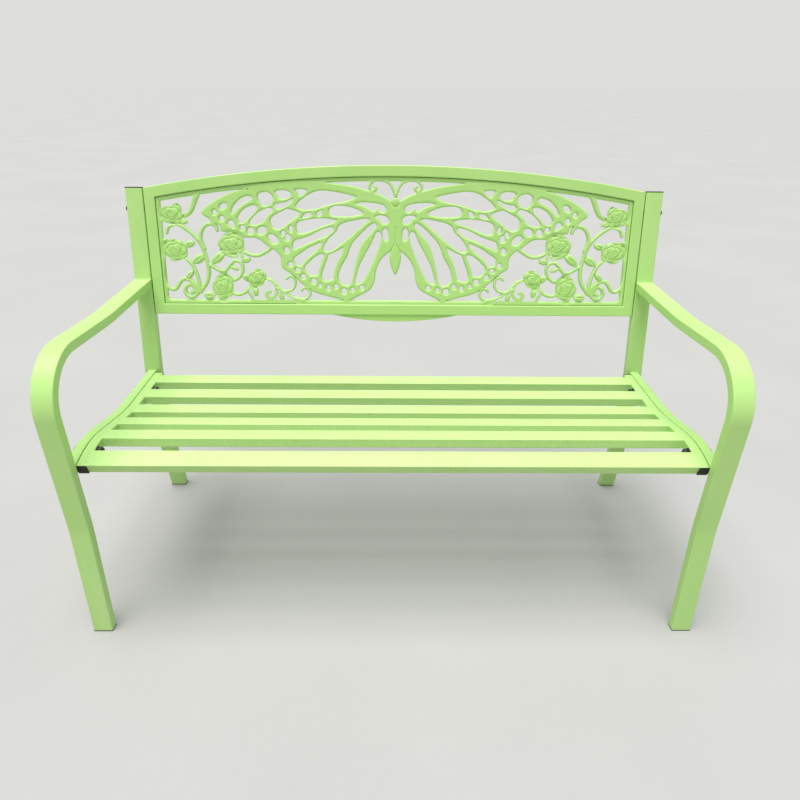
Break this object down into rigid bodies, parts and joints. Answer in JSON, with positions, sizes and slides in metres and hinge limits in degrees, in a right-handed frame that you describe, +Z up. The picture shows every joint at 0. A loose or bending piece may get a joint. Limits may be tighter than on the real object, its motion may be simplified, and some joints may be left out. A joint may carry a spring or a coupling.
{
  "type": "garden bench",
  "caption": "Steel-tube garden bench with curved arms, a slatted contoured seat and an arched back holding a cast butterfly-and-roses insert.",
  "frame": {"origin": "on the ground, below the middle of the bench's bounding box", "axes": "+Z up, +X along the seat to the sitter's left, -Y towards the front of the bench"},
  "size_m": [1.281, 0.6234, 0.8553],
  "materials": {
    "painted_steel": "light green powder coat, low satin gloss",
    "painted_casting": "the same light green powder coat over a casting",
    "black_plastic": "moulded matte black",
    "black_bolts": "black coated steel, satin",
    "zinc_screws": "zinc plated"
  },
  "bodies": {
    "root": {"arm_leg_left": "painted_steel", "arm_leg_right": "painted_steel", "back_post_left": "painted_steel", "back_post_right": "painted_steel", "side_rail_left": "painted_steel", "side_rail_right": "painted_steel", "seat_rail_left": "painted_steel", "seat_rail_right": "painted_steel", "seat_slat_1": "painted_steel", "seat_slat_2": "painted_steel", "seat_slat_3": "painted_steel", "seat_slat_4": "painted_steel", "seat_slat_5": "painted_steel", "seat_slat_6": "painted_steel", "back_top_rail": "painted_steel", "back_bottom_rail": "painted_steel", "back_stile_left": "painted_steel", "back_stile_right": "painted_steel", "butterfly_insert": "painted_casting", "insert_ledge": "painted_steel", "insert_screws": "zinc_screws", "post_caps": "black_plastic", "foot_plugs_front": "black_plastic", "foot_plugs_rear": "black_plastic", "seat_rail_plugs": "black_plastic", "seat_bolts": "black_bolts", "seat_washers": "black_bolts", "seat_cap_nuts": "black_bolts", "back_bolts": "black_bolts", "back_washers": "black_bolts"}
  },
  "joints": []
}
